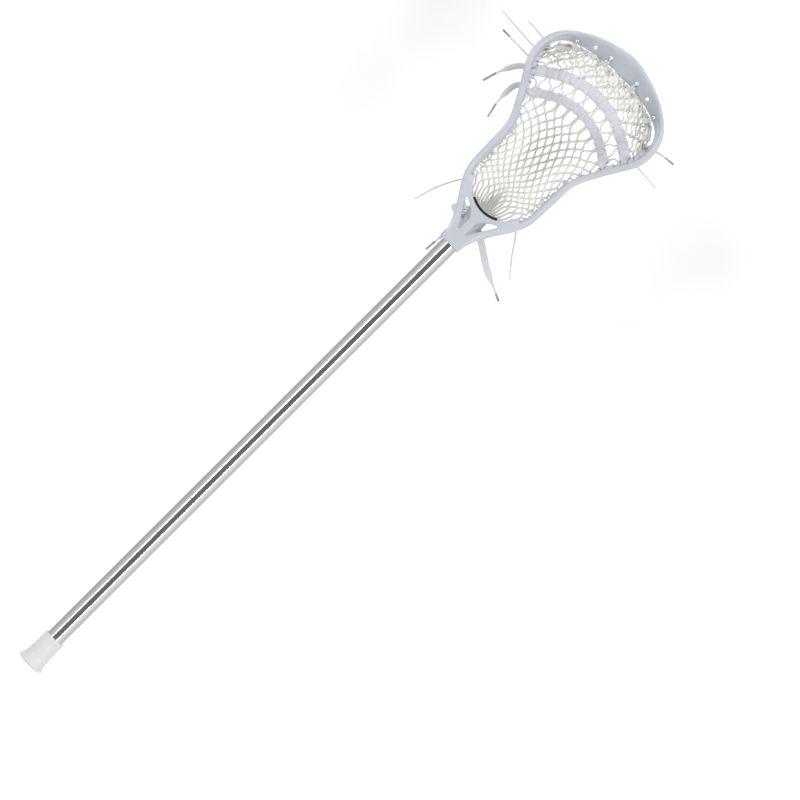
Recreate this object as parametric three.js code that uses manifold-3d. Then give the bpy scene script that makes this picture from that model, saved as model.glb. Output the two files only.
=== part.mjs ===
// A men's field lacrosse stick with a strung head: an octagonal aluminium shaft, a moulded nylon head,
// a rubber butt cap, a knitted mesh pocket and the strings and laces that hold it.
//
// Millimetres. +X runs along the stick from the butt to the scoop, +Z is the face side (the side the ball
// enters from), +Y is the left rail. The origin is the centre of the butt cap's flat end face, on the
// shaft's axis.
import * as THREE from 'three';
import { mergeVertices } from 'three/addons/utils/BufferGeometryUtils.js';
import Module from 'manifold-3d';

const wasm = await Module();
wasm.setup();

// ---------------------------------------------------------------- driving dimensions

const CLEARANCE = 0.35; // between pieces that fit into each other

const SHAFT_LENGTH = 762; // 30 inches
const SHAFT_WIDTH = 23.3; // across the side flats, along Y
const SHAFT_DEPTH = 25.7; // across the front and back flats, along Z
const SHAFT_WALL = 1.3;
const FRONT_FLAT = 7.4; // width of the front and back flats
const SIDE_FLAT = 12; // width of the two side flats
const SHAFT_CORNER = 1.4; // radius of the eight long edges

const CAP_END = 6; // rubber behind the shaft's end
const CAP_COVER = 39; // how far the cap reaches over the shaft
const CAP_WALL = 1.6; // at the cap's thin edge
const CAP_NECK_RADIUS = 15; // just above the flange
const CAP_FLANGE_RADIUS = 18;

const SEAT_DEPTH = 50; // how far the shaft goes into the head
const HEAD_LENGTH = 320.5; // throat mouth to scoop tip
const HEAD_WIDTH = 196.6; // at the widest, near the scoop
const THROAT_WALL = 2.1; // nylon around the shaft

const SCREW_FROM_MOUTH = 9;
const SCREW_SHANK_RADIUS = 2.0;
const SCREW_SHANK_LENGTH = 12;
const SCREW_HEAD_RADIUS = 3.6;
const SCREW_HEAD_HEIGHT = 2.2;

const BALL_STOP_RADIUS = 36; // of the foam's hollow face
const BALL_STOP_FROM_MOUTH = 58;
const FOAM_THICKNESS = 2.6;
const FOAM_HALF_ANGLE = 31;
const STOP_WALL = 3;

const STRING_DIAMETER = 2.0; // braided nylon
const NET_THICKNESS = 3.2;
const NET_GAP = 4.1; // between the rails' inner faces and the net's solid
const LACE_WIDTH = 12; // of a shooting lace woven through the net
const LACE_THICKNESS = 1.4;
const TAIL_LACE_WIDTH = 9; // of a lace's loose end
const AGLET_LENGTH = 19;
const AGLET_DIAMETER = 2.6;

// ---------------------------------------------------------------- worked-out places

const SHAFT_START = CAP_END;
const SHAFT_END = SHAFT_START + SHAFT_LENGTH;
const THROAT_X = SHAFT_END - SEAT_DEPTH;
const STOP_CENTRE = BALL_STOP_FROM_MOUTH + BALL_STOP_RADIUS;
const THROAT_HALF_WIDTH = SHAFT_WIDTH / 2 + THROAT_WALL;
const THROAT_TOP = SHAFT_DEPTH / 2 + THROAT_WALL + CLEARANCE;
const THROAT_FOOT = -THROAT_TOP - 0.5;

// ---------------------------------------------------------------- helpers

const v3 = (x, y, z) => new THREE.Vector3(x, y, z);
const lerp = THREE.MathUtils.lerp;

// The head is laid out at 318 by 196.6 mm. Beyond its ball stop it stretches to the sizes above.
const LAID_OUT = { stop: 60, length: 318, throat: 13.75, width: 98.3 };
const along = (x) => (x <= LAID_OUT.stop ? x : lerp(
  LAID_OUT.stop, HEAD_LENGTH, (x - LAID_OUT.stop) / (LAID_OUT.length - LAID_OUT.stop)));
const wide = (y) => (Math.abs(y) <= LAID_OUT.throat ? y : Math.sign(y) * lerp(
  LAID_OUT.throat, HEAD_WIDTH / 2, (Math.abs(y) - LAID_OUT.throat) / (LAID_OUT.width - LAID_OUT.throat)));
const laidOut = (pairs) => pairs.map(([x, value]) => [along(x), value]);

// A smooth curve through [x, value] pairs, as a function of x.
function profile(pairs) {
  const slope = (i) => {
    const a = pairs[Math.max(i - 1, 0)];
    const b = pairs[Math.min(i + 1, pairs.length - 1)];
    return (b[1] - a[1]) / (b[0] - a[0]);
  };
  return (x) => {
    const last = pairs.length - 2;
    let i = pairs.findIndex((p) => p[0] > x) - 1;
    i = x >= pairs[pairs.length - 1][0] ? last : Math.max(i, 0);
    const [x0, y0] = pairs[i];
    const [x1, y1] = pairs[i + 1];
    const t = THREE.MathUtils.clamp((x - x0) / (x1 - x0), 0, 1);
    const w = x1 - x0;
    const t2 = t * t;
    const t3 = t2 * t;
    return (2 * t3 - 3 * t2 + 1) * y0 + (t3 - 2 * t2 + t) * w * slope(i)
      + (3 * t2 - 2 * t3) * y1 + (t3 - t2) * w * slope(i + 1);
  };
}

// Joins rings of points into one closed solid. The rings have equal counts, and the first and last are capped.
// A band's rings run out along one face and back along the other, and its ends need not be flat.
function loft(rings, band = false) {
  const count = rings[0].length;
  const vertices = rings.flat();
  const faces = [];
  for (let r = 0; r + 1 < rings.length; r++) {
    for (let k = 0; k < count; k++) {
      const a = r * count + k;
      const b = r * count + (k + 1) % count;
      faces.push(a, b, b + count, a, b + count, a + count);
    }
  }
  [0, rings.length - 1].forEach((r, end) => {
    const ring = rings[r];
    if (band) {
      for (let k = 0; k + 1 < count / 2; k++) {
        const quad = [k, k + 1, count - 2 - k, count - 1 - k].map((i) => r * count + i);
        const [a, b, c, d] = end ? quad : quad.reverse();
        faces.push(a, b, c, a, c, d);
      }
      return;
    }
    const middle = ring.reduce((s, p) => s.add(p), v3(0, 0, 0)).divideScalar(count);
    const normal = v3(0, 0, 0);
    ring.forEach((p, k) => normal.add(p.clone().sub(middle).cross(ring[(k + 1) % count].clone().sub(middle))));
    normal.normalize();
    const across = ring[1].clone().sub(ring[0]).normalize();
    const up = normal.clone().cross(across);
    const flat = ring.map((p) => new THREE.Vector2(p.clone().sub(middle).dot(across), p.clone().sub(middle).dot(up)));
    for (const [i, j, k] of THREE.ShapeUtils.triangulateShape(flat, [])) {
      const o = r * count;
      if (end) faces.push(o + i, o + j, o + k);
      else faces.push(o + k, o + j, o + i);
    }
  });
  const geometry = new THREE.BufferGeometry().setFromPoints(vertices);
  geometry.setIndex(faces);
  return faceOut(geometry);
}

// Turns a closed geometry's faces round if they point inwards.
function faceOut(geometry) {
  const p = geometry.getAttribute('position');
  const index = geometry.index.array;
  let volume = 0;
  const [a, b, c] = [v3(0, 0, 0), v3(0, 0, 0), v3(0, 0, 0)];
  for (let i = 0; i < index.length; i += 3) {
    a.fromBufferAttribute(p, index[i]);
    b.fromBufferAttribute(p, index[i + 1]);
    c.fromBufferAttribute(p, index[i + 2]);
    volume += a.dot(b.cross(c));
  }
  if (volume < 0) geometry.setIndex(Array.from(index).reverse());
  return geometry;
}

// A closed geometry as a solid for cutting and joining.
function solid(geometry) {
  const bare = (geometry.index ? geometry.toNonIndexed() : geometry.clone());
  bare.deleteAttribute('normal');
  bare.deleteAttribute('uv');
  const merged = mergeVertices(bare, 1e-3);
  return new wasm.Manifold(new wasm.Mesh({
    numProp: 3,
    vertProperties: merged.getAttribute('position').array,
    triVerts: new Uint32Array(merged.index.array),
  }));
}

function geometryOf(made) {
  const mesh = made.getMesh();
  const points = new Float32Array(mesh.numVert * 3);
  for (let i = 0; i < mesh.numVert; i++) {
    points.set(mesh.vertProperties.subarray(i * mesh.numProp, i * mesh.numProp + 3), i * 3);
  }
  return new THREE.BufferGeometry()
    .setAttribute('position', new THREE.BufferAttribute(points, 3))
    .setIndex(new THREE.BufferAttribute(new Uint32Array(mesh.triVerts), 1));
}

function shapeOf(points, holes = []) {
  const shape = new THREE.Shape(points.map(([x, y]) => new THREE.Vector2(x, y)));
  shape.holes = holes.map((hole) => new THREE.Path(hole.map(([x, y]) => new THREE.Vector2(x, y))));
  return shape;
}

// A polygon with its corners rounded, as a list of [x, y].
function rounded(corners, radius, steps = 3) {
  return corners.flatMap((corner, i) => {
    const here = new THREE.Vector2(...corner);
    const before = new THREE.Vector2(...corners[(i + corners.length - 1) % corners.length]);
    const after = new THREE.Vector2(...corners[(i + 1) % corners.length]);
    const a = before.clone().sub(here).normalize();
    const b = after.clone().sub(here).normalize();
    const half = Math.acos(THREE.MathUtils.clamp(a.dot(b), -1, 1)) / 2;
    const back = Math.min(radius / Math.tan(half), before.distanceTo(here) * 0.45, after.distanceTo(here) * 0.45);
    const curve = new THREE.QuadraticBezierCurve(
      here.clone().addScaledVector(a, back), here, here.clone().addScaledVector(b, back));
    return curve.getPoints(steps).map((p) => [p.x, p.y]);
  });
}

// A plan shape in X and Y, from z = low to z = high.
const plate = (points, low, high) => new THREE.ExtrudeGeometry(
  shapeOf(points), { depth: high - low, bevelEnabled: false }).translate(0, 0, low);

// A side shape in X and Z, from y = low to y = high.
const slab = (points, low, high) => new THREE.ExtrudeGeometry(
  shapeOf(points), { depth: high - low, bevelEnabled: false }).rotateX(Math.PI / 2).translate(0, high, 0);

// A round string through the points.
function stringSolid(points, diameter, steps) {
  const path = new THREE.CatmullRomCurve3(points.map((p) => v3(...p)), false, 'centripetal');
  const section = shapeOf(Array.from({ length: 6 }, (_, i) => [
    diameter / 2 * Math.cos(i * Math.PI / 3), diameter / 2 * Math.sin(i * Math.PI / 3)]));
  return new THREE.ExtrudeGeometry(section, { steps, bevelEnabled: false, extrudePath: path });
}

// A flat lace or band through the points: width lies along the vector across.
function bandSolid(points, across, width, thickness, steps) {
  const path = new THREE.CatmullRomCurve3(points.map((p) => v3(...p)), false, 'centripetal');
  const rings = [];
  for (let i = 0; i <= steps; i++) {
    const at = path.getPointAt(i / steps);
    const along = path.getTangentAt(i / steps);
    const side = v3(...across).addScaledVector(along, -v3(...across).dot(along)).normalize();
    const up = along.clone().cross(side);
    rings.push([[-1, -1], [1, -1], [1, 1], [-1, 1]].map(([s, u]) => at.clone()
      .addScaledVector(side, s * width / 2).addScaledVector(up, u * thickness / 2)));
  }
  return loft(rings);
}

const colour = (hex, roughness, metalness = 0) => new THREE.MeshStandardMaterial({ color: hex, roughness, metalness });
const materials = {
  aluminium: colour(0x9a9a9a, 0.28, 1),
  nylon: colour(0xc3cedb, 0.45),
  rubber: colour(0xececec, 0.7),
  steel: colour(0x8e8e8c, 0.3, 1),
  foam: colour(0x1a1b1d, 0.9),
  net: colour(0xe6e5df, 0.85),
  string: colour(0xdedddb, 0.7),
  lace: colour(0xe2e0ea, 0.85),
  aglet: colour(0x55555a, 0.4),
};

const stick = new THREE.Group();
const head = new THREE.Group(); // its own frame starts at the throat's mouth
head.position.x = THROAT_X;
stick.add(head);

function add(group, name, geometry, material) {
  const mesh = new THREE.Mesh(geometry, material);
  mesh.name = name;
  group.add(mesh);
  return mesh;
}

// ---------------------------------------------------------------- shaft

// The shaft's outline grown by some millimetres, in Y and Z.
function octagon(grow, corner = SHAFT_CORNER) {
  const y = SHAFT_WIDTH / 2 + grow;
  const z = SHAFT_DEPTH / 2 + grow;
  const slant = Math.atan2(SHAFT_DEPTH - SIDE_FLAT, SHAFT_WIDTH - FRONT_FLAT);
  const fy = FRONT_FLAT / 2 + grow * Math.tan(slant / 2);
  const fz = SIDE_FLAT / 2 + grow * Math.tan(Math.PI / 4 - slant / 2);
  return rounded([[y, -fz], [y, fz], [fy, z], [-fy, z], [-y, fz], [-y, -fz], [-fy, -z], [fy, -z]], corner, 3);
}

// An outline in Y and Z pushed along X.
function bar(outline, from, to, holes = []) {
  const geometry = new THREE.ExtrudeGeometry(shapeOf(outline, holes), { depth: to - from, bevelEnabled: false });
  const turn = new THREE.Matrix4().makeBasis(v3(0, 1, 0), v3(0, 0, 1), v3(1, 0, 0));
  return geometry.applyMatrix4(turn).translate(from, 0, 0);
}

// The fixing screw's hole, along Z, from the back up to the shaft's axis.
const screwHole = (radius, x) => new THREE.CylinderGeometry(radius, radius, 30, 16)
  .rotateX(Math.PI / 2).translate(x, 0, -15.5);

const tube = solid(bar(octagon(0), SHAFT_START, SHAFT_END, [octagon(-SHAFT_WALL, 0.6)]));
const screwX = THROAT_X + SCREW_FROM_MOUTH;
add(stick, 'shaft', geometryOf(
  tube.subtract(solid(screwHole(SCREW_SHANK_RADIUS + CLEARANCE, screwX)))), materials.aluminium);

// ---------------------------------------------------------------- butt cap

// The distance from the axis to an outline in Y and Z, at an angle.
function reach(outline, angle) {
  const ray = new THREE.Vector2(Math.cos(angle), Math.sin(angle));
  for (let i = 0; i < outline.length; i++) {
    const a = new THREE.Vector2(...outline[i]);
    const side = new THREE.Vector2(...outline[(i + 1) % outline.length]).sub(a);
    const turn = ray.cross(side);
    const along = a.cross(ray) / turn;
    if (along >= 0 && along <= 1 && a.cross(side) / turn > 0) return a.cross(side) / turn;
  }
  return NaN;
}

// The rubber cap goes from the shaft's octagon at its thin edge to a round flange at the butt.
function buttCap() {
  const edge = octagon(CAP_WALL + CLEARANCE, 2.2);
  const length = CAP_END + CAP_COVER;
  const ring = (x, radius, round) => Array.from({ length: 40 }, (_, i) => {
    const angle = (i + 0.5) * Math.PI / 20;
    const r = lerp(reach(edge, angle), radius, round);
    return v3(x, r * Math.cos(angle), r * Math.sin(angle));
  });
  const rings = [
    ring(0, CAP_FLANGE_RADIUS * 0.55, 1),
    ring(0.6, CAP_FLANGE_RADIUS * 0.78, 1),
    ring(1.8, CAP_FLANGE_RADIUS * 0.93, 1),
    ring(3.2, CAP_FLANGE_RADIUS, 1),
    ring(4.6, CAP_FLANGE_RADIUS * 0.995, 1),
    ring(6.4, lerp(CAP_FLANGE_RADIUS, CAP_NECK_RADIUS, 0.35), 1),
    ring(9, lerp(CAP_FLANGE_RADIUS, CAP_NECK_RADIUS, 0.8), 1),
    ring(13, CAP_NECK_RADIUS, 0.95),
    ring(length * 0.65, CAP_NECK_RADIUS * 0.97, 0.6),
    ring(length - 1, CAP_NECK_RADIUS, 0.1),
    ring(length, CAP_NECK_RADIUS, 0),
  ];
  const socket = bar(octagon(CLEARANCE), CAP_END - CLEARANCE, length + 5);
  return geometryOf(solid(loft(rings)).subtract(solid(socket)));
}
add(stick, 'end_cap', buttCap(), materials.rubber);

// ---------------------------------------------------------------- the head's outlines

// The outer edge in plan, left half: distance from the throat's mouth, and half width.
const halfOutline = [
  [0, THROAT_HALF_WIDTH], [16, 16.4], [41, 29], [65, 44.2], [84, 52.2], [120, 54.7], [156, 57],
  [192, 74.6], [228, 95.2], [247, 98.3], [265, 95.1], [278, 87.8], [290, 75.4], [302, 56.4], [311.7, 32],
  [318, 0],
].map(([x, y]) => [along(x), x ? wide(y) : y]);
const outline = new THREE.CatmullRomCurve3([
  ...halfOutline.map(([x, y]) => v3(x, y, 0)),
  ...halfOutline.slice(0, -1).reverse().map(([x, y]) => v3(x, -y, 0)),
], false, 'centripetal');
outline.arcLengthDivisions = 1600;

const railCrown = profile(laidOut([ // the face side's edge, as seen from the side
  [0, THROAT_TOP], [52, THROAT_TOP], [66, 14], [75, 12], [88, 7.2], [109, 0.9], [130, -3.9], [152, -4.9],
  [193, -4.9], [246, -3.3], [264, -3.7], [282, -4.9], [300, -7.9], [312, -12.1], [318, -16.2]]));
const railFoot = profile(laidOut([ // the back's edge, down to the string flange
  [0, THROAT_FOOT], [13, THROAT_FOOT - 1.9], [24, -20.4], [34.5, -25.7], [43, -31.6], [60, -37.3], [83, -42.7], [105, -50.5],
  [118, -55], [145, -59.4], [173, -61.2], [199, -61.2], [215, -57], [230, -52.3], [252, -45.5], [274, -39.6],
  [294, -37.6], [318, -38.6]]));
const lowRailTop = profile(laidOut([ // the lower rail's upper edge
  [0, -3], [14, -7], [85, -36.3], [96, -41], [146, -47.8], [158, -48.6], [204, -43.4], [215, -40.2],
  [253, -30], [259, -27.9], [286, -20], [318, -20]]));
const topRailHeight = profile(laidOut([[0, 9.6], [89, 9.2], [138, 8], [165, 7.4], [202, 6.6], [318, 6.4]]));

const FLANGE_OUT = 5.2; // the string flange's faces, in from the outer edge
const FLANGE_IN = 8.4;
const PANEL_RECESS = 3.6; // of the panel beside the ball stop

// The sidewall: a crowned top rail, a thin web and a lower rail with a string flange.
// Each point is [distance in from the outer edge, height].
function sidewallSection(x) {
  const deep = PANEL_RECESS * THREE.MathUtils.smoothstep(x, 49, 55) * (1 - THREE.MathUtils.smoothstep(x, 82, 89));
  const top = railCrown(x);
  const web = top - topRailHeight(x);
  const low = lowRailTop(x);
  const foot = railFoot(x);
  const tall = low - foot;
  return [
    [1.8, top], [6.4, top], [8.2, top - 2], [8.2, web + 1.2], [6.8 + deep, web],
    [7.2 + deep, low], [9.8, low - 0.12 * tall], [9.8, low - 0.5 * tall], [FLANGE_IN, low - 0.6 * tall], [FLANGE_IN, foot],
    [FLANGE_OUT, foot], [FLANGE_OUT, low - 0.6 * tall], [1.8, low - 0.5 * tall], [1.8, low - 0.12 * tall], [3.6 + deep, low],
    [3.4 + deep, web], [0, web + 1.2], [0, top - 2],
  ];
}

// The scoop: a slanted ramp, hollow behind, with a lip for the top string. Each point is a share of the ramp's
// depth and a share of the height.
const SCOOP_SECTION = [
  [0.09, 0], [0.23, 0.05], [0.36, 0.16], [0.5, 0.32], [0.66, 0.49], [0.81, 0.66], [0.94, 0.8], [1, 0.9],
  [0.93, 1], [0.78, 0.88], [0.62, 0.72], [0.47, 0.56], [0.36, 0.44], [0.31, 0.5], [0.27, 0.63], [0.13, 0.57],
  [0.03, 0.4], [0, 0.17],
];
const SCOOP_FROM = along(258);
const SCOOP_WHOLE = along(308);
const scoopShare = (x) => THREE.MathUtils.smoothstep(x, SCOOP_FROM, SCOOP_WHOLE);
const rampDepth = profile(laidOut([
  [258, 9.8], [278, 11.4], [290, 14.6], [302, 18.6], [310, 22.4], [318, 27]]));

function wallSection(x) {
  const top = railCrown(x);
  const foot = railFoot(x);
  const share = scoopShare(x);
  return sidewallSection(x).map(([n, z], i) => [
    lerp(n, SCOOP_SECTION[i][0] * rampDepth(x), share),
    lerp(z, top + (foot - top) * SCOOP_SECTION[i][1], share),
  ]);
}

// The outline's place and inward direction at a share of its length.
function station(share) {
  const at = outline.getPointAt(share);
  const along = outline.getTangentAt(share);
  return { at, inward: v3(along.y, -along.x, 0).normalize() };
}

// A place on the frame: a distance in from the outer edge, at a distance from the mouth, on one side.
const edgeShares = Array.from({ length: 401 }, (_, i) => i / 800).map((s) => [outline.getPointAt(s).x, s]);
function onWall(x, n, z, side) {
  const found = edgeShares.find((e) => e[0] >= x) ?? edgeShares[edgeShares.length - 1];
  const { at, inward } = station(found[1]);
  const p = at.addScaledVector(inward, n);
  return [p.x, p.y * side, z];
}

// ---------------------------------------------------------------- head frame

const WALL_STATIONS = 150;

function wallRing() {
  const rings = [];
  for (let i = 0; i <= WALL_STATIONS; i++) {
    const { at, inward } = station(i / WALL_STATIONS);
    rings.push(wallSection(at.x).map(([n, z]) => v3(at.x, at.y, z).addScaledVector(inward, n)));
  }
  return loft(rings);
}

// Everything in the throat stays inside this side shape.
function throatEnvelope() {
  const xs = Array.from({ length: 19 }, (_, i) => i * 5);
  return slab([...xs.map((x) => [x, railFoot(x)]), ...xs.reverse().map((x) => [x, railCrown(x)])], -70, 70);
}

// Full windows through both sidewalls: corners in X and Z.
const WINDOWS = [
  [[91, -3.2], [137.5, -12.2], [145.5, -47.6], [97, -41]],
  [[146.8, -12.3], [190.5, -12.3], [203.8, -43.4], [158, -48.6]],
  [[202.4, -11.4], [241.4, -10.2], [252.4, -30.2], [215.6, -40]],
  [[252.2, -10.2], [281.6, -11.4], [285.4, -20], [259.6, -27.9]],
].map(laidOut);
const SHAFT_WINDOW = [[14, 4.6], [46, 5], [46, -10.6], [14, -7]];
const MIN_WINDOW_Y = 11; // the windows leave the throat's core and the scoop's middle alone

// The slots beside the throat's stem: the Y that the face shows. The sleeve round the shaft is their floor.
const SLEEVE_WALL = 0.9;
const SLOT = [[15, 4.9], [40, 5.2], [48, 11.8], [54, 20.5], [58, 28.4], [53, 25.6], [41, 18.2], [29, 10.6]];

// Where the arms beside the stem start to slope outwards: X, Y and the way the slope faces.
const ARM_EDGE = [
  [2, 13.9, 0.2, 0.98], [16, 12.6, -0.1, 0.99], [29, 15.6, -0.35, 0.94], [41, 21, -0.46, 0.89],
  [58, 30.2, -0.46, 0.89], [73, 38.4, -0.46, 0.89],
];
const ARM_SLOPE = 0.42;

// String holes: in the scoop's ramp, and along the flange under each lower rail.
const SCOOP_HOLES = [[298.4, 22.2], [294, 44.2], [283.6, 65.2]].map(([x, y]) => [along(x), wide(y)]);
const FLANGE_HOLES = Array.from({ length: 10 }, (_, i) => along(103 + i * 17.5));
const SCOOP_HOLE_RADIUS = STRING_DIAMETER / 2 + 1.3;
const FLANGE_HOLE_RADIUS = STRING_DIAMETER / 2 + 0.8;
const flangeHoleHeight = (x) => lerp(railFoot(x), lowRailTop(x), 0.22);

// What the arms' slope takes off: a wedge that starts at each arm's inner edge and deepens outwards.
function armWedge(side) {
  const rings = ARM_EDGE.map(([x, y, outX, outY]) => [[0, 0.3], [0, 12], [26, 12], [26, -26 * ARM_SLOPE]]
    .map(([away, up]) => v3(x + outX * away, (y + outY * away) * side, THROAT_TOP + up)));
  return loft(side > 0 ? rings : rings.reverse());
}

function headFrame() {
  const core = slab([
    [0, railCrown(0)], [53, railCrown(53)], [53, railFoot(13)], [13, railFoot(13)], [0, THROAT_FOOT],
  ], -THROAT_HALF_WIDTH, THROAT_HALF_WIDTH);
  const half = [[0, 12], [16, 14.5], [41, 27], [65, 41], [80, 48]];
  const facePlate = plate([...half, ...half.map(([x, y]) => [x, -y]).reverse()], 11, THROAT_TOP);
  const stopRadius = BALL_STOP_RADIUS + FOAM_THICKNESS + CLEARANCE;
  const arc = (radius, from, to) => Array.from({ length: 25 }, (_, i) => {
    const angle = Math.PI + lerp(from, to, i / 24);
    return [STOP_CENTRE + radius * Math.cos(angle), radius * Math.sin(angle)];
  });
  const spread = THREE.MathUtils.degToRad(72);
  const stopWall = plate([...arc(stopRadius, -spread, spread), ...arc(stopRadius + STOP_WALL, spread, -spread)],
    -34, THROAT_TOP);
  const ballSpace = new THREE.CylinderGeometry(stopRadius, stopRadius, 40, 72)
    .rotateX(Math.PI / 2).translate(STOP_CENTRE, 0, 10);

  let made = solid(facePlate).subtract(solid(ballSpace)).add(solid(stopWall)).add(solid(core))
    .intersect(solid(throatEnvelope())).add(solid(wallRing()));
  for (const side of [1, -1]) {
    const across = (low, high) => (side > 0 ? [low, high] : [-high, -low]);
    for (const corners of WINDOWS) {
      made = made.subtract(solid(slab(rounded(corners, 6.5, 4), ...across(MIN_WINDOW_Y, 120))));
    }
    made = made.subtract(solid(slab(rounded(SHAFT_WINDOW, 1.5, 2), ...across(7, 60))));
    made = made.subtract(solid(armWedge(side)));
    const slot = plate(rounded(SLOT.map(([x, y]) => [x, y * side]), 1.2, 2), 2, 30);
    made = made.subtract(solid(slot).subtract(solid(bar(octagon(CLEARANCE + SLEEVE_WALL), -5, SEAT_DEPTH + 2))));
    for (const [x, y] of SCOOP_HOLES) {
      const hole = new THREE.CylinderGeometry(SCOOP_HOLE_RADIUS, SCOOP_HOLE_RADIUS, 60, 12)
        .rotateX(Math.PI / 2).translate(x, y * side, -30);
      made = made.subtract(solid(hole));
    }
    for (const x of FLANGE_HOLES) {
      const [outside, inside] = [2, 12].map((n) => v3(...onWall(x, n, flangeHoleHeight(x), side)));
      const hole = new THREE.CylinderGeometry(FLANGE_HOLE_RADIUS, FLANGE_HOLE_RADIUS, 10, 10);
      hole.applyQuaternion(new THREE.Quaternion().setFromUnitVectors(v3(0, 1, 0), outside.clone().sub(inside).normalize()));
      const middle = outside.lerp(inside, 0.5);
      made = made.subtract(solid(hole.translate(middle.x, middle.y, middle.z)));
    }
  }
  const socket = bar(octagon(CLEARANCE), -5, SEAT_DEPTH + CLEARANCE);
  const seat = new THREE.CylinderGeometry(SCREW_HEAD_RADIUS + CLEARANCE, SCREW_HEAD_RADIUS + CLEARANCE, 10, 20)
    .rotateX(Math.PI / 2).translate(SCREW_FROM_MOUTH, 0, -THROAT_TOP - 5);
  return geometryOf(made.subtract(solid(socket))
    .subtract(solid(screwHole(SCREW_SHANK_RADIUS + CLEARANCE, SCREW_FROM_MOUTH)))
    .subtract(solid(seat)).asOriginal().simplify(0.02));
}
add(head, 'head_frame', headFrame(), materials.nylon);

// ---------------------------------------------------------------- fixing screw and ball stop

// A pan head screw, driven from the back through the throat into the shaft's wall.
function fixingScrew() {
  const bearing = -THROAT_TOP - CLEARANCE; // the head's flat underside, in the throat's seat
  const tip = bearing + SCREW_SHANK_LENGTH;
  const r = SCREW_SHANK_RADIUS;
  const profilePoints = [
    [0, bearing - SCREW_HEAD_HEIGHT], [SCREW_HEAD_RADIUS * 0.6, bearing - SCREW_HEAD_HEIGHT],
    [SCREW_HEAD_RADIUS * 0.93, bearing - SCREW_HEAD_HEIGHT * 0.6], [SCREW_HEAD_RADIUS, bearing - 0.4],
    [SCREW_HEAD_RADIUS, bearing], [r, bearing], [r, tip - 3], [0.3, tip], [0, tip],
  ].map(([x, y]) => new THREE.Vector2(x, y));
  const body = solid(new THREE.LatheGeometry(profilePoints, 20).rotateX(Math.PI / 2));
  const blade = (wide, deep) => solid(new THREE.BoxGeometry(wide, deep, 2.4)
    .translate(0, 0, bearing - SCREW_HEAD_HEIGHT));
  return geometryOf(body.subtract(blade(3.8, 0.9)).subtract(blade(0.9, 3.8)));
}
const screw = add(head, 'head_screw', fixingScrew(), materials.steel);
screw.position.x = SCREW_FROM_MOUTH;

// The self-adhesive foam pad on the wall that stops the ball.
function ballStop() {
  const turn = THREE.MathUtils.degToRad(FOAM_HALF_ANGLE);
  const arc = (radius, from, to) => Array.from({ length: 13 }, (_, i) => {
    const angle = Math.PI + lerp(from, to, i / 12);
    return [STOP_CENTRE + radius * Math.cos(angle), radius * Math.sin(angle)];
  });
  const outer = BALL_STOP_RADIUS + FOAM_THICKNESS;
  return plate([...arc(BALL_STOP_RADIUS, -turn, turn), ...arc(outer, turn, -turn)], -24, THROAT_TOP - 0.6);
}
add(head, 'ball_stop', ballStop(), materials.foam);

// ---------------------------------------------------------------- the net

const netFrom = 60;
const netTo = HEAD_LENGTH - rampDepth(HEAD_LENGTH) - NET_GAP;

const pocketFloor = profile(laidOut([ // the net's lowest line, along the middle
  [60, -44], [66, -46.8], [88, -57.5], [96, -66], [104, -80], [114, -97], [125, -109.8], [136, -118.2],
  [151, -124.6], [158, -125.4], [169, -123.8], [181, -118.2], [193, -108.7], [205, -93.4], [213, -80.2],
  [222, -68], [238, -56], [258, -47], [278, -42], [293, -40]]));

// The half width that the net fills, at a distance from the mouth.
const innerEdge = (() => {
  const pairs = [];
  for (let i = 0; i <= 200; i++) {
    const { at, inward } = station(i / 400);
    const deepest = Math.max(...wallSection(at.x).map(([n]) => n)) + NET_GAP;
    const p = at.clone().addScaledVector(inward, deepest);
    if (!pairs.length || p.x > pairs[pairs.length - 1][0] + 0.05) pairs.push([p.x, p.y]);
  }
  return (x) => {
    const i = THREE.MathUtils.clamp(pairs.findIndex((p) => p[0] > x), 1, pairs.length - 1);
    const [x0, y0] = pairs[i - 1];
    const [x1, y1] = pairs[i];
    return Math.max(0, lerp(y0, y1, THREE.MathUtils.clamp((x - x0) / (x1 - x0), 0, 1)));
  };
})();

const netEdgeHeight = (x) => railFoot(x) + 3 * (1 - scoopShare(x)) + 1.5 * scoopShare(x);

// The net's upper face: a channel that is flat at the scoop and a deep bag in the middle.
function netHeight(x, y) {
  const edge = netEdgeHeight(x);
  const floor = pocketFloor(x) + NET_THICKNESS;
  const v = Math.min(1, Math.abs(y) / Math.max(innerEdge(x), 1));
  const bag = (1 - v ** 2.3) ** 1.15;
  return lerp(edge, Math.min(floor, edge), bag);
}

// The net's lengthwise lines end on the scoop's curved inner edge. A place has a share of the length and one of
// the half width, -1 to 1.
const NET_SIDE_END = along(262); // where the rails' inner edge turns into the scoop's
function netPlace(along, across) {
  const side = lerp(netFrom, NET_SIDE_END, along);
  const middle = lerp(netFrom, netTo - 0.6, along);
  const half = Math.min(innerEdge(side), 13 + (side - netFrom) * 2.2);
  return v3(lerp(side, middle, 1 - Math.abs(across) ** 3), half * across, 0);
}

function netSolid() {
  const LENGTHWISE = 44;
  const ACROSS = 22;
  const rings = [];
  for (let i = 0; i <= LENGTHWISE; i++) {
    const line = Array.from({ length: ACROSS + 1 }, (_, k) => netPlace(
      i / LENGTHWISE, Math.sin(Math.PI / 2 * (2 * k / ACROSS - 1))));
    const raised = (p, lift) => v3(p.x, p.y, netHeight(p.x, p.y) + lift);
    rings.push([...line.map((p) => raised(p, 0)), ...line.reverse().map((p) => raised(p, -NET_THICKNESS))]);
  }
  return loft(rings, true);
}
add(head, 'mesh_pocket', netSolid(), materials.net);

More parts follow.
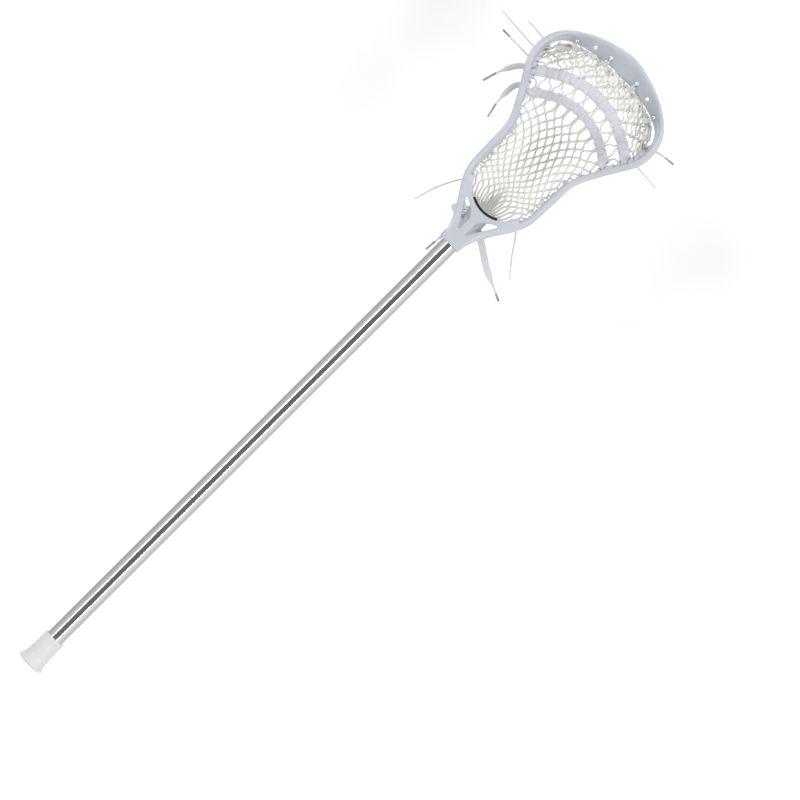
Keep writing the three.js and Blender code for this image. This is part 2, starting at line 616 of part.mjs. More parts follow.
// The net's spare end, curled down behind the throat.
const TAIL_ROUTE = [
  [57, 11, -42], [52, 12, -46], [46, 14.5, -56], [42.5, 18, -70], [41.5, 19.5, -84], [45, 19, -97], [53, 18, -109]];
add(head, 'mesh_tail', bandSolid(TAIL_ROUTE, [0, 1, 0], 26, 2.6, 16), materials.net);

// ---------------------------------------------------------------- shooting laces

const LACES = { shooting_lace_lower: [203, 28], shooting_lace_upper: [228, 29] };
const LACE_LIFT = 1.1; // from the net's upper face to the lace's lower face

// A flat lace across the net: it bows towards the scoop by its bulge.
function laceAcross(start, bulge) {
  const half = innerEdge(start) - 3;
  const rings = [];
  const STEPS = 26;
  for (let i = 0; i <= STEPS; i++) {
    const y = lerp(-half, half, i / STEPS);
    const x = start + bulge * (1 - (y / half) ** 2);
    const place = (dx, lift) => v3(x + dx, y, netHeight(x + dx, y) + LACE_LIFT + lift);
    rings.push([place(-LACE_WIDTH / 2, 0), place(0, 0), place(LACE_WIDTH / 2, 0),
      place(LACE_WIDTH / 2, LACE_THICKNESS), place(0, LACE_THICKNESS), place(-LACE_WIDTH / 2, LACE_THICKNESS)]);
  }
  return loft(rings, true);
}
for (const [name, [start, bulge]] of Object.entries(LACES)) {
  add(head, name, laceAcross(along(start), bulge), materials.lace);
}

// ---------------------------------------------------------------- strings held by the frame

// The sidewall string goes out through a hole, down round the flange and in to the next one.
function sidewallString(side) {
  const r = STRING_DIAMETER / 2;
  const pitch = FLANGE_HOLES[1] - FLANGE_HOLES[0];
  const under = (x) => Math.min(...[-4, 0, 4].map((d) => railFoot(x + d))) - r - 0.9;
  const points = [];
  FLANGE_HOLES.forEach((x, i) => {
    const z = flangeHoleHeight(x);
    const last = i === FLANGE_HOLES.length - 1;
    const spot = (share, n, height) => points.push(onWall(x + pitch * share, n, height(x + pitch * share), side));
    spot(0, FLANGE_IN + r + 1, () => z);
    spot(0, FLANGE_IN, () => z);
    spot(0, FLANGE_OUT, () => z);
    spot(0.02, FLANGE_OUT - r - 0.9, () => z - 0.8);
    if (last) return;
    spot(0.17, FLANGE_OUT - r - 1, (t) => under(t) + 1.2);
    spot(0.34, FLANGE_OUT + 0.4, under);
    spot(0.51, FLANGE_IN + 0.2, under);
    spot(0.71, FLANGE_IN + r + 1.2, (t) => under(t) + 1.8);
    spot(0.88, FLANGE_IN + r + 1.6, (t) => lerp(under(t), flangeHoleHeight(x + pitch), 0.7));
  });
  return stringSolid(points, STRING_DIAMETER, 160);
}
add(head, 'sidewall_string_left', sidewallString(1), materials.string);
add(head, 'sidewall_string_right', sidewallString(-1), materials.string);

// The height of the frame's face side at a distance in from the outer edge.
function faceHeight(x, n) {
  const edge = wallSection(x).slice(0, 8);
  const i = THREE.MathUtils.clamp(edge.findIndex((p) => p[0] > n), 1, 7);
  return lerp(edge[i - 1][1], edge[i][1], (n - edge[i - 1][0]) / (edge[i][0] - edge[i - 1][0]));
}

// The top string comes up through four of the scoop's holes and goes down its ramp and over the lip.
function topString() {
  const looped = [SCOOP_HOLES[2], SCOOP_HOLES[0]];
  const holes = [...looped, ...looped.map(([x, y]) => [x, -y]).reverse()];
  const points = [];
  holes.forEach(([x, y], i) => {
    const side = Math.sign(y);
    const spots = edgeShares.map(([, share]) => station(share));
    const away = (s) => v3(x, Math.abs(y), 0).sub(s.at);
    spots.sort((a, b) => away(a).cross(a.inward).length() - away(b).cross(b.inward).length());
    const { at, inward } = spots[0];
    const hole = away(spots[0]).dot(inward);
    const place = (n, lift) => {
      const p = at.clone().addScaledVector(inward, hole + n);
      return [p.x, p.y * side, lift];
    };
    const ramp = (n, lift) => place(n, faceHeight(at.x, hole + n) + lift);
    const foot = railFoot(at.x);
    const lip = Math.max(...wallSection(at.x).map(([n]) => n)) - hole;
    if (i) points.push(place(4, foot - 3.2));
    points.push(place(0.2, foot - 1.2), ramp(0, -5), ramp(0, 0.2), ramp(2.2, 2.9), ramp(Math.min(5.5, lip - 2), 3.2));
    points.push(place(lip + 2, foot + 4.8), place(lip + 1.8, foot - 0.4));
    if (i < holes.length - 1) points.push(place(lip - 4, foot - 3));
    if (i === 1) points.push([HEAD_LENGTH - rampDepth(HEAD_LENGTH) + 0.4, 0, foot - 3.4]);
    else if (i < holes.length - 1) points.push(onWall(301, 19, foot - 3.4, side));
  });
  return stringSolid(points, STRING_DIAMETER, 130);
}
add(head, 'top_string', topString(), materials.string);

// ---------------------------------------------------------------- loose ends

// Each loose end starts at its knot under a rail or at the throat and ends in the air. The places are in the
// head's frame. Round ends have a diameter; flat ones a width, a thickness and the way their width lies.
const LOOSE_ENDS = {
  tail_a: { round: 2.6, aglet: 12, points: [[231, 85.6, -57.8], [232, 96.4, -58.2], [232.5, 118, -56.8], [232.9, 140.6, -58.8]] },
  tail_b: { round: 2.2, aglet: 0, points: [[243.2, 85.7, -53], [244.1, 97.5, -53.4], [245.9, 128.1, -51], [248.2, 157.6, -52]] },
  tail_c: { round: 2.2, aglet: 0, points: [[257.3, 83.8, -49.4], [259.2, 95.6, -49.8], [260.5, 112.4, -48], [261.4, 126.2, -48.6]] },
  tail_d: { round: 2.2, aglet: 0, points: [[73.8, 36.5, -49.6], [68, 47.3, -49], [40.9, 61.2, -43], [11.1, 70.5, -46]] },
  tail_e: { round: 2.6, aglet: 13, points: [[255.3, -83.8, -49.8], [258.4, -96.6, -48.6], [260.9, -109.5, -45], [262.5, -123.3, -47]] },
  tail_f: { round: 2.2, aglet: 0, points: [[231, -84.6, -57], [230, -97.3, -57.4], [229.2, -113.1, -56], [227.9, -127.8, -59]] },
  tail_g: { round: 2.2, aglet: 0, points: [[73.8, -36.5, -49.6], [68.1, -47.3, -48], [43, -65.2, -42], [22.6, -82.1, -36]] },
  lace_end_upper: { flat: [8, 1.3], across: [0.3, 0.8, 0.5], aglet: AGLET_LENGTH,
    points: [[223.5, 82.5, -63], [215.6, 96.2, -63.5], [195.6, 107.1, -60], [172.6, 114.8, -66]] },
  lace_end_lower: { flat: [8, 1.3], across: [0, 0.7, 0.7], aglet: AGLET_LENGTH,
    points: [[204.3, 70.6, -69], [196.4, 82.3, -70], [172, 84.2, -72], [146.4, 79.2, -76]] },
  throat_lace_right: { flat: [TAIL_LACE_WIDTH, 1.3], across: [0.75, 0.2, -0.6], aglet: 15,
    points: [[38, -12, -32], [29, -28, -39], [15, -50, -59], [5, -73, -87], [-2, -90, -109]] },
  throat_lace_left: { flat: [TAIL_LACE_WIDTH, 1.3], across: [0.2, 0.9, 0.3], aglet: 15,
    points: [[34, 10, -30.5], [20, 12.5, -32], [0, 15, -35], [-22, 17, -44]] },
};

for (const [name, end] of Object.entries(LOOSE_ENDS)) {
  const path = new THREE.CatmullRomCurve3(
    end.points.map(([x, y, z]) => v3(along(x), wide(y), z)), false, 'centripetal');
  const length = path.getLength();
  const cut = (from, to, count) => Array.from({ length: count }, (_, i) => path
    .getPointAt(lerp(from, to, i / (count - 1)) / length).toArray());
  const braid = cut(0, length - end.aglet - (end.aglet ? 0.4 : 0), 9);
  const body = end.round ? stringSolid(braid, end.round, 16)
    : bandSolid(braid, end.across, ...end.flat, 16);
  add(head, name, body, materials.lace);
  if (end.aglet) {
    add(head, `${name}_aglet`, stringSolid(cut(length - end.aglet, length, 4), AGLET_DIAMETER, 4), materials.aglet);
  }
}

export default stick;
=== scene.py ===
import bpy
import bmesh
import math
from mathutils import Matrix, Vector, noise
from mathutils.bvhtree import BVHTree


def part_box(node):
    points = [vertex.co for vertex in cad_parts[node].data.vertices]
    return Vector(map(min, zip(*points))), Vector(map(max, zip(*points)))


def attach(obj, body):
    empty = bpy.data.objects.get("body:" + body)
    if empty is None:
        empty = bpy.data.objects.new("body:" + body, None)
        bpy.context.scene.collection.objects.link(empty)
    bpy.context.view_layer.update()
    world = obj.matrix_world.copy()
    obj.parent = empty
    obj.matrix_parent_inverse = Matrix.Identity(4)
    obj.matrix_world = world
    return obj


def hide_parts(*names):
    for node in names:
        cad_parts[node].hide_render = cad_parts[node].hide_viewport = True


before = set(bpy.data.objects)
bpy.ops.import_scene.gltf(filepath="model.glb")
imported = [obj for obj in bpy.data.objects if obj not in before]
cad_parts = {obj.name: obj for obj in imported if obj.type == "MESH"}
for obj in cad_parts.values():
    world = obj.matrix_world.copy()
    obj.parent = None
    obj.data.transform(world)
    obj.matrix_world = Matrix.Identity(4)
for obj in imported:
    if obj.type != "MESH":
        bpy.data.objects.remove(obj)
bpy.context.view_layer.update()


# Camera. It looks straight down on the stick's face from five metres, turned so that the stick runs from
# the lower left to the upper right.
camera_data = bpy.data.cameras.new("camera")
camera = bpy.data.objects.new("camera", camera_data)
bpy.context.collection.objects.link(camera)
bpy.context.scene.camera = camera
image_right = Vector((0.7079, -0.7063, 0))
image_up = Vector((0.7063, 0.7079, 0))
above_stick = 5.0
seen_width = 0.967
camera.matrix_world = Matrix((image_right, image_up, (0, 0, 1))).transposed().to_4x4()
camera.location = (0.5434, -0.0908, above_stick)
film_width = 36
camera_data.sensor_width = film_width
camera_data.lens = film_width * above_stick / seen_width
bpy.context.scene.view_settings.view_transform = "Standard"


# Room. A pale paper floor well below the stick and a pale glow all round under a dim ceiling, with a broad
# soft light on each side and a weaker one at each end. Polished flats that face up stay dark and those that
# slope sideways turn bright.
def linear(hex_colour):
    channels = [int(hex_colour[i:i + 2], 16) / 255 for i in (0, 2, 4)]
    return [c / 12.92 if c <= 0.04045 else ((c + 0.055) / 1.055) ** 2.4 for c in channels] + [1]


def add_node(tree, kind, values={}, links={}, **settings):
    made = tree.nodes.new("ShaderNode" + kind)
    for name, value in settings.items():
        setattr(made, name, value)
    for socket, value in values.items():
        made.inputs[socket].default_value = value
    for socket, source in links.items():
        tree.links.new(source, made.inputs[socket])
    return made


def new_material(name):
    made = bpy.data.materials.new(name)
    made.use_nodes = True
    made.node_tree.nodes.clear()
    return made, made.node_tree


def finish_material(tree, surface):
    add_node(tree, "OutputMaterial", links={"Surface": surface.outputs[0]})


def new_object(name, data):
    made = bpy.data.objects.new(name, data)
    bpy.context.collection.objects.link(made)
    return made


paper_floor, tree = new_material("matt_paper_floor")
finish_material(tree, add_node(tree, "BsdfPrincipled", {
    "Base Color": linear("F4F4F4"), "Roughness": 0.9, "Specular IOR Level": 0.2}))
bm = bmesh.new()
floor_reach, floor_height = 30, -0.3
bmesh.ops.create_grid(bm, x_segments=1, y_segments=1, size=floor_reach)
bmesh.ops.translate(bm, verts=bm.verts, vec=(0.5, 0, floor_height))
floor = new_object("floor", bpy.data.meshes.new("floor"))
bm.to_mesh(floor.data)
floor.data.materials.append(paper_floor)

world = bpy.data.worlds.new("studio")
world.use_nodes = True
tree = world.node_tree
direction = add_node(tree, "TexCoord").outputs["Generated"]
parts = add_node(tree, "SeparateXYZ", links={0: direction})
horizon_glow, ceiling_glow = 0.86, 0.17
height = add_node(tree, "MapRange", {
    "From Min": 0.02, "From Max": 0.62, "To Min": horizon_glow, "To Max": ceiling_glow}, {
    "Value": parts.outputs[2]}, interpolation_type="SMOOTHSTEP")
sideways = add_node(tree, "Math", {1: -0.2, 2: 1.0}, {0: parts.outputs[1]}, operation="MULTIPLY_ADD")
glow = add_node(tree, "Math", links={0: height.outputs[0], 1: sideways.outputs[0]}, operation="MULTIPLY")
tree.nodes["Background"].inputs["Color"].default_value = linear("FFFFFF")
tree.links.new(glow.outputs[0], tree.nodes["Background"].inputs["Strength"])
bpy.context.scene.world = world

for name, towards, strength, softness in (
        ("soft_light_left", (0.0, 1.0, 1.15), 1.38, 25),
        ("soft_light_right", (0.0, -1.0, 1.15), 1.55, 25),
        ("soft_light_butt_end", (-1.0, 0.1, 0.8), 0.5, 30),
        ("soft_light_tip_end", (1.0, 0.0, 0.9), 1.0, 30)):
    light_data = bpy.data.lights.new(name, "SUN")
    light_data.energy = strength
    light_data.angle = math.radians(softness)
    light = new_object(name, light_data)
    light.rotation_euler = Vector(towards).to_track_quat("Z", "Y").to_euler()
    light.location = Vector((0.5, 0, 0)) + 2 * Vector(towards)


# Shaft. A drawn tube of 7000-series aluminium with eight shallow, hollow-ground flats, polished and then
# clear anodised. The head's socket hides its far end, and the screw's hole with it.
def copy_of_node(name):
    bm = bmesh.new()
    bm.from_mesh(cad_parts[name].data)
    bmesh.ops.remove_doubles(bm, verts=bm.verts, dist=1e-6)
    return bm


def new_piece(name, bm, material, slot, body, *replaced, smooth=True):
    for face in bm.faces:
        face.smooth = smooth
    made = new_object(name, bpy.data.meshes.new(name))
    bm.to_mesh(made.data)
    bm.free()
    made.data.materials.append(material)
    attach(made, body)
    if replaced:
        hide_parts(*replaced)
    return made


aluminium, tree = new_material("aluminium_drawn_polished_clear_anodised")
place = add_node(tree, "TexCoord").outputs["Object"]
stretched = add_node(tree, "Mapping", {"Scale": (4, 420, 420)}, {"Vector": place}).outputs[0]
lines = add_node(tree, "TexNoise", {"Scale": 1, "Detail": 1, "Roughness": 0.5}, {"Vector": stretched})
wear = add_node(tree, "TexNoise", {"Scale": 35, "Detail": 4, "Roughness": 0.6}, {"Vector": place})
mixed = add_node(tree, "Math", {1: 0.5}, {0: lines.outputs[0], 2: wear.outputs[0]}, operation="MULTIPLY_ADD")
rough = add_node(tree, "MapRange", {"From Min": 0.4, "From Max": 1.1, "To Min": 0.13, "To Max": 0.2},
                 {"Value": mixed.outputs[0]})
bump = add_node(tree, "Bump", {"Strength": 0.1, "Distance": 0.00006}, {"Height": lines.outputs[0]})
finish_material(tree, add_node(tree, "BsdfPrincipled", {
    "Base Color": linear("D8D9DB"), "Metallic": 1}, {
    "Roughness": rough.outputs[0], "Normal": bump.outputs[0]}))

shaft_low, shaft_high = [Vector(corner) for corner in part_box("shaft")]
half_width, half_depth = shaft_high.y, shaft_high.z
front_flat, side_flat, wall = 0.0074, 0.0120, 0.0013
edge_rounding, hollow = 0.0009, 0.00022
bm = bmesh.new()
corners = []
for y, z in ((half_width, side_flat / 2), (front_flat / 2, half_depth)):
    corners += [(y, z), (-y, z), (-y, -z), (y, -z)]
corners.sort(key=lambda c: math.atan2(c[1], c[0]))
rim = [bm.verts.new((shaft_low.x, y, z)) for y, z in corners]
for a, b in zip(rim, rim[1:] + rim[:1]):
    bm.edges.new((a, b))
bmesh.ops.bevel(bm, geom=bm.verts[:], offset=edge_rounding, offset_type="OFFSET", segments=5, profile=0.5,
                affect="VERTICES", material=-1)
shortest_flat = 0.003
flats = [e for e in bm.edges if e.calc_length() > shortest_flat]
middles = [(e.verts[0].co + e.verts[1].co) / 2 for e in flats]
spans = [e.calc_length() / 2 for e in flats]
bmesh.ops.subdivide_edges(bm, edges=flats, cuts=7)
for vert in bm.verts:
    for middle, span in zip(middles, spans):
        away = (vert.co - middle).length
        if away < span * 0.999:
            inward = Vector((0, middle.y, middle.z)).normalized()
            vert.co -= inward * hollow * (1 - (away / span) ** 2)
            break
out = bmesh.ops.extrude_edge_only(bm, edges=bm.edges[:])
bmesh.ops.translate(bm, verts=[v for v in out["geom"] if isinstance(v, bmesh.types.BMVert)],
                    vec=(shaft_high.x - shaft_low.x, 0, 0))
end_loop = 0.0004  # a loop close to each end keeps the shading of the flats straight
for x in (shaft_low.x + end_loop, shaft_high.x - end_loop):
    bmesh.ops.bisect_plane(bm, geom=bm.verts[:] + bm.edges[:] + bm.faces[:], plane_co=(x, 0, 0),
                           plane_no=(1, 0, 0))
bmesh.ops.recalc_face_normals(bm, faces=bm.faces)
shaft = new_piece("shaft_tube", bm, aluminium, "aluminium", "stick", "shaft")
thickness = shaft.modifiers.new("wall", "SOLIDIFY")
thickness.thickness = wall
thickness.offset = -1
thickness.use_rim = True


# Butt cap. Soft white rubber, moulded in one piece and pushed over the shaft's end by hand. It is matt
# and slightly translucent, with rounded edges and a few scuffs on its flange.
def remeshed(piece, voxel, smoothing):
    remesh = piece.modifiers.new("remesh", "REMESH")
    remesh.mode = "VOXEL"
    remesh.voxel_size = voxel
    remesh.use_smooth_shade = True
    relax = piece.modifiers.new("relax", "SMOOTH")
    relax.factor = 0.5
    relax.iterations = smoothing
    depsgraph = bpy.context.evaluated_depsgraph_get()
    made = bpy.data.meshes.new_from_object(piece.evaluated_get(depsgraph))
    piece.modifiers.clear()
    old = piece.data
    piece.data = made
    bpy.data.meshes.remove(old)
    for polygon in piece.data.polygons:
        polygon.use_smooth = True


rubber, tree = new_material("white_rubber_moulded")
place = add_node(tree, "TexCoord").outputs["Object"]
skin = add_node(tree, "TexNoise", {"Scale": 2600, "Detail": 2}, {"Vector": place})
scuffs = add_node(tree, "TexNoise", {"Scale": 140, "Detail": 6, "Roughness": 0.7}, {"Vector": place})
tint = add_node(tree, "ValToRGB", links={"Fac": scuffs.outputs[0]})
tint.color_ramp.elements[0].position, tint.color_ramp.elements[0].color = 0.25, linear("C7C7C6")
tint.color_ramp.elements[1].position, tint.color_ramp.elements[1].color = 0.6, linear("D0D0CF")
bump = add_node(tree, "Bump", {"Strength": 0.25, "Distance": 0.0001}, {"Height": skin.outputs[0]})
finish_material(tree, add_node(tree, "BsdfPrincipled", {
    "Roughness": 0.58, "IOR": 1.5, "Subsurface Weight": 0.12, "Subsurface Radius": (0.004, 0.004, 0.0035),
    "Subsurface Scale": 1}, {"Base Color": tint.outputs[0], "Normal": bump.outputs[0]}))
cap = new_piece("butt_cap", copy_of_node("end_cap"), rubber, "rubber", "end_cap", "end_cap")
remeshed(cap, 0.0006, 4)


# Head. One moulding of nylon 66 in a pale blue grey: rails, sidewall ribs, throat and scoop. The steel
# mould leaves a satin skin with a very fine grain.
nylon, tree = new_material("nylon_injection_moulded_satin")
place = add_node(tree, "TexCoord").outputs["Object"]
grain = add_node(tree, "TexNoise", {"Scale": 1500, "Detail": 3, "Roughness": 0.55}, {"Vector": place})
flow = add_node(tree, "TexNoise", {"Scale": 22, "Detail": 3, "Distortion": 0.6}, {"Vector": place})
tint = add_node(tree, "ValToRGB", links={"Fac": flow.outputs[0]})
tint.color_ramp.elements[0].position, tint.color_ramp.elements[0].color = 0.3, linear("B2B7BF")
tint.color_ramp.elements[1].position, tint.color_ramp.elements[1].color = 0.72, linear("B9BEC6")
rough = add_node(tree, "MapRange", {"From Min": 0.3, "From Max": 0.7, "To Min": 0.34, "To Max": 0.44},
                 {"Value": flow.outputs[0]})
bump = add_node(tree, "Bump", {"Strength": 0.18, "Distance": 0.00008}, {"Height": grain.outputs[0]})
finish_material(tree, add_node(tree, "BsdfPrincipled", {
    "IOR": 1.53, "Subsurface Weight": 0.08, "Subsurface Radius": (0.003, 0.0034, 0.004),
    "Subsurface Scale": 1}, {
    "Base Color": tint.outputs[0], "Roughness": rough.outputs[0], "Normal": bump.outputs[0]}))
head = new_piece("head_moulding", copy_of_node("head_frame"), nylon, "nylon", "stick", "head_frame")
remeshed(head, 0.00112, 5)


# Ball stop. A strip of black closed-cell foam with an adhesive back, cut to size and stuck to the throat's
# curved wall.
def broken_edges(piece, width, sharper_than):
    edges = piece.modifiers.new("edges", "BEVEL")
    edges.width = width
    edges.segments = 2
    edges.limit_method = "ANGLE"
    edges.angle_limit = math.radians(sharper_than)


foam, tree = new_material("black_foam_closed_cell")
place = add_node(tree, "TexCoord").outputs["Object"]
cells = add_node(tree, "TexVoronoi", {"Scale": 1900}, {"Vector": place})
bump = add_node(tree, "Bump", {"Strength": 0.6, "Distance": 0.0002}, {"Height": cells.outputs["Distance"]})
finish_material(tree, add_node(tree, "BsdfPrincipled", {
    "Base Color": linear("1B1C1E"), "Roughness": 0.88}, {"Normal": bump.outputs[0]}))
ball_stop = new_piece("ball_stop_pad", copy_of_node("ball_stop"), foam, "foam", "stick", "ball_stop",
                      smooth=False)
broken_edges(ball_stop, 0.0004, 40)


# Fixing screw. Zinc-plated steel with a pan head and a cross slot, driven into the shaft through the back
# of the head's socket.
steel, tree = new_material("steel_zinc_plated")
place = add_node(tree, "TexCoord").outputs["Object"]
plate = add_node(tree, "TexNoise", {"Scale": 900, "Detail": 4}, {"Vector": place})
rough = add_node(tree, "MapRange", {"To Min": 0.2, "To Max": 0.42}, {"Value": plate.outputs[0]})
finish_material(tree, add_node(tree, "BsdfPrincipled", {
    "Base Color": linear("B9BAB6"), "Metallic": 1}, {"Roughness": rough.outputs[0]}))
screw = new_piece("fixing_screw", copy_of_node("head_screw"), steel, "steel", "head_screw", "head_screw",
                  smooth=False)
broken_edges(screw, 0.00015, 35)


# Net. Knotless mesh of soft nylon cord, nearly 3 mm thick, dipped in a stiff white wax. Its cords zigzag
# from the throat to the scoop and join their neighbours at every half cell, which leaves diamonds. At the
# scoop the net is folded back on itself twice and sewn to a thick end cord.
net_cord, tree = new_material("nylon_mesh_cord_knitted_waxed")
along_uv = add_node(tree, "TexCoord").outputs["UV"]
stitches = add_node(tree, "Mapping", {"Scale": (210, 1, 1)}, {"Vector": along_uv}).outputs[0]
parts = add_node(tree, "SeparateXYZ", links={0: stitches})
lay = add_node(tree, "Math", {1: 2}, {0: parts.outputs[1], 2: parts.outputs[0]}, operation="MULTIPLY_ADD")
turn = add_node(tree, "Math", {1: math.tau}, {0: lay.outputs[0]}, operation="MULTIPLY")
ridge = add_node(tree, "Math", links={0: turn.outputs[0]}, operation="SINE")
place = add_node(tree, "TexCoord").outputs["Object"]
fluff = add_node(tree, "TexNoise", {"Scale": 1300, "Detail": 3}, {"Vector": place})
height = add_node(tree, "Math", {1: 0.3}, {0: ridge.outputs[0], 2: fluff.outputs[0]}, operation="MULTIPLY_ADD")
# The colour follows the bump's height: painted shade darkens the grooves between the stitches and lighter
# colour sits on the ridges, with a random tone from the fluff noise on top.
tint = add_node(tree, "ValToRGB", links={"Fac": height.outputs[0]})
tint.color_ramp.elements[0].position, tint.color_ramp.elements[0].color = 0.1, linear("D3D2CD")
tint.color_ramp.elements[1].position, tint.color_ramp.elements[1].color = 0.8, linear("E6E5E0")
bump = add_node(tree, "Bump", {"Strength": 0.5, "Distance": 0.0003}, {"Height": height.outputs[0]})
finish_material(tree, add_node(tree, "BsdfPrincipled", {
    "Roughness": 0.72, "Sheen Weight": 0.15, "Subsurface Weight": 0.1,
    "Subsurface Radius": (0.002, 0.002, 0.002), "Subsurface Scale": 1}, {
    "Base Color": tint.outputs[0], "Normal": bump.outputs[0]}))


def cord_curve(name, routes, diameter, material, slot, *replaced):
    data = bpy.data.curves.new(name, "CURVE")
    data.dimensions = "3D"
    data.bevel_depth = diameter / 2
    data.bevel_resolution = 2
    data.use_fill_caps = True
    for route in routes:
        spline = data.splines.new("POLY")
        spline.points.add(len(route) - 1)
        for point, co in zip(spline.points, route):
            point.co = (*co, 1)
    made = new_object(name, data)
    data.materials.append(material)
    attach(made, "stick")
    if replaced:
        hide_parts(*replaced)
    return made


def smoothstep(low, high, x):
    t = min(max((x - low) / (high - low), 0), 1)
    return t * t * (3 - 2 * t)


pocket = copy_of_node("mesh_pocket")
pocket_surface = BVHTree.FromBMesh(pocket)
net_low, net_high = [Vector(corner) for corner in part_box("mesh_pocket")]
net_side_end = net_high.x - 0.0248  # where the net's edge leaves the rails and follows the scoop
net_middle_end = net_high.x - 0.0006
pocket_rings = 44
widest = {}
for vert in pocket.verts:
    ring = round((vert.co.x - net_low.x) / (net_side_end - net_low.x) * pocket_rings)
    if vert.co.x <= net_side_end + 0.001:
        widest[ring] = max(widest.get(ring, 0), vert.co.y)
net_depth = 0.0016  # from the net's face side to the middle of its cords
noise.seed_set(7)  # the cords' small wanderings are then the same in every run
throat = shaft_high.x - 0.050  # the throat's mouth


def net_half_width(share):
    at = min(max(share * pocket_rings, 0), pocket_rings - 0.001)
    a = int(at)
    return widest[a] + (widest[a + 1] - widest[a]) * (at - a)


# The scoop's inner edge in mm: distances from the stick's middle line, and from the throat's mouth.
scoop_edge_points = [(0, 291.5), (11, 291.5), (33, 290), (50.5, 286), (63, 281), (71, 276.5), (77, 270),
                     (84, 259), (110, 200)]


def scoop_edge(y):
    off = abs(y) * 1000
    for (y0, x0), (y1, x1) in zip(scoop_edge_points, scoop_edge_points[1:]):
        if off <= y1:
            break
    return throat + (x0 + (x1 - x0) * (off - y0) / (y1 - y0)) / 1000


# Where a share of the net's length and a share of its half width lie on the stick, seen from the face.
def net_plan(share, across):
    y = net_half_width(share) * across
    side = net_low.x + (net_side_end - net_low.x) * share
    middle = net_low.x + (net_middle_end - net_low.x) * share
    bow = 1 - min(abs(across), 1) ** 3
    short = scoop_edge(y) - (net_side_end + (net_middle_end - net_side_end) * bow)
    return side + (middle - side) * bow + short * smoothstep(0.72, 1, share), y


# The point of the net's cords below a place, and the way the net faces there. Beyond the pocket's last row
# the net goes straight on to the scoop.
def on_net(x, y, depth=net_depth):
    farthest_back, step_back = 28, 0.0006
    for back in range(farthest_back):
        from_above = Vector((x - step_back * back, y, 0.1))
        hit, normal, _, _ = pocket_surface.ray_cast(from_above, Vector((0, 0, -1)))
        if hit:
            hit.x = x
            break
    if hit is None:
        hit, normal, _, _ = pocket_surface.find_nearest(Vector((x, y, net_low.z * 0.35)))
        normal = Vector((0, 0, 1))
    if normal.z < 0:
        normal = -normal
    return hit - normal * depth, normal


# Shares of the net's length at equal steps along its middle.
steps = 240
line = [on_net(*net_plan(i / steps, 0))[0] for i in range(steps + 1)]
run = [0]
for a, b in zip(line, line[1:]):
    run.append(run[-1] + (b - a).length)
net_length = run[-1]


def share_at(travelled):
    target = travelled * net_length
    i = min(max(next((k for k, r in enumerate(run) if r >= target), steps), 1), steps)
    return (i - 1 + (target - run[i - 1]) / (run[i] - run[i - 1])) / steps


strands = 18
half_rows = 30
net_diameter = 0.0027


# Near the throat the cords are gathered towards the middle, into the bundle that goes through it.
def gathered(travelled, across):
    power = 1 + 0.45 * (1 - smoothstep(0.02, 0.3, travelled))
    return math.copysign(min(abs(across), 1) ** power, across) * 1.015


# The cells between the laces and the scoop are stretched wider than those in the pocket.
def stretched_row(travelled):
    rows_lost = 4.2
    return travelled * half_rows - rows_lost * smoothstep(0.62, 0.86, travelled)


# One route for each cord between two shares of the net's length. A fold lies higher by its lift, swings
# out of step by its phase, is shifted between the net's own cords, and wanders more the looser it is.
def net_routes(start, end, lift=0.0, phase=0.0, loose=0.0, between=0.0):
    routes = []
    count = int((end - start) * half_rows * 8)
    for k in range(strands):
        centre = -1 + (k + 0.5 + between) * 2 / strands
        route = []
        for i in range(count + 1):
            travelled = start + (end - start) * i / count
            share = share_at(travelled)
            beat = math.pi * (stretched_row(travelled) + k + phase)
            swing = math.cos(beat)
            squareness = 0.6 - 0.25 * smoothstep(0.55, 0.8, travelled)
            swing = math.copysign(abs(swing) ** squareness, swing)
            width = max(net_half_width(share), 0.004)
            touching = net_diameter * 0.42 / width
            reach = max(1 / strands - touching, 0) * smoothstep(0.03, 0.11, travelled)
            x, y = net_plan(share, gathered(travelled, centre + reach * swing))
            drift = noise.noise_vector(Vector((x * 45, y * 45, k * 0.35 + phase * 7)))
            slack = (0.0007 + loose * smoothstep(start, end, travelled)) * smoothstep(0, 0.2, travelled)
            x, y = x + drift.x * slack, y + drift.y * slack
            over = 0.00045 * math.sin(beat)
            point, normal = on_net(x, y, net_depth - lift + over)
            route.append(point)
        routes.append(route)
    return routes


cord_curve("net_cords", net_routes(0, 1), net_diameter, net_cord, "net", "mesh_pocket")
for name, start, lift, phase, loose, between in (
        ("net_fold", 0.885, 0.0023, 0.3, 0.004, 0.5), ("net_second_fold", 0.925, 0.0041, 1.1, 0.004, 0.2)):
    cord_curve(name, net_routes(start, 1, lift, phase, loose, between)[:-1], net_diameter * 0.85, net_cord,
               "net")
edge = []
for i in range(161):
    across = -1 + i / 80
    ripple = 0.003 * math.sin(i * 0.9) - 0.003
    edge.append(on_net(*net_plan(1 + ripple, across), net_depth - 0.0022)[0])
cord_curve("net_end_cord", [edge], 0.0034, net_cord, "net")


# Spare end of the net. What is left of the mesh beyond the throat is rolled into a flat bunch of cords,
# which hangs in a curl behind the throat.
def smooth_route(points, count):
    padded = [points[0] * 2 - points[1], *points, points[-1] * 2 - points[-2]]
    dense = []
    for a, b, c, d in zip(padded, padded[1:], padded[2:], padded[3:]):
        for i in range(24):
            t = i / 24
            dense.append(((b * 2) + (c - a) * t + (a * 2 - b * 5 + c * 4 - d) * t * t
                          + (b * 3 - a - c * 3 + d) * t ** 3) / 2)
    dense.append(points[-1].copy())
    runs = [0]
    for a, b in zip(dense, dense[1:]):
        runs.append(runs[-1] + (b - a).length)
    made = []
    k = 0
    for i in range(count + 1):
        target = runs[-1] * i / count
        while k + 2 < len(runs) and runs[k + 1] < target:
            k += 1
        t = (target - runs[k]) / max(runs[k + 1] - runs[k], 1e-9)
        made.append(dense[k].lerp(dense[k + 1], min(max(t, 0), 1)))
    return made


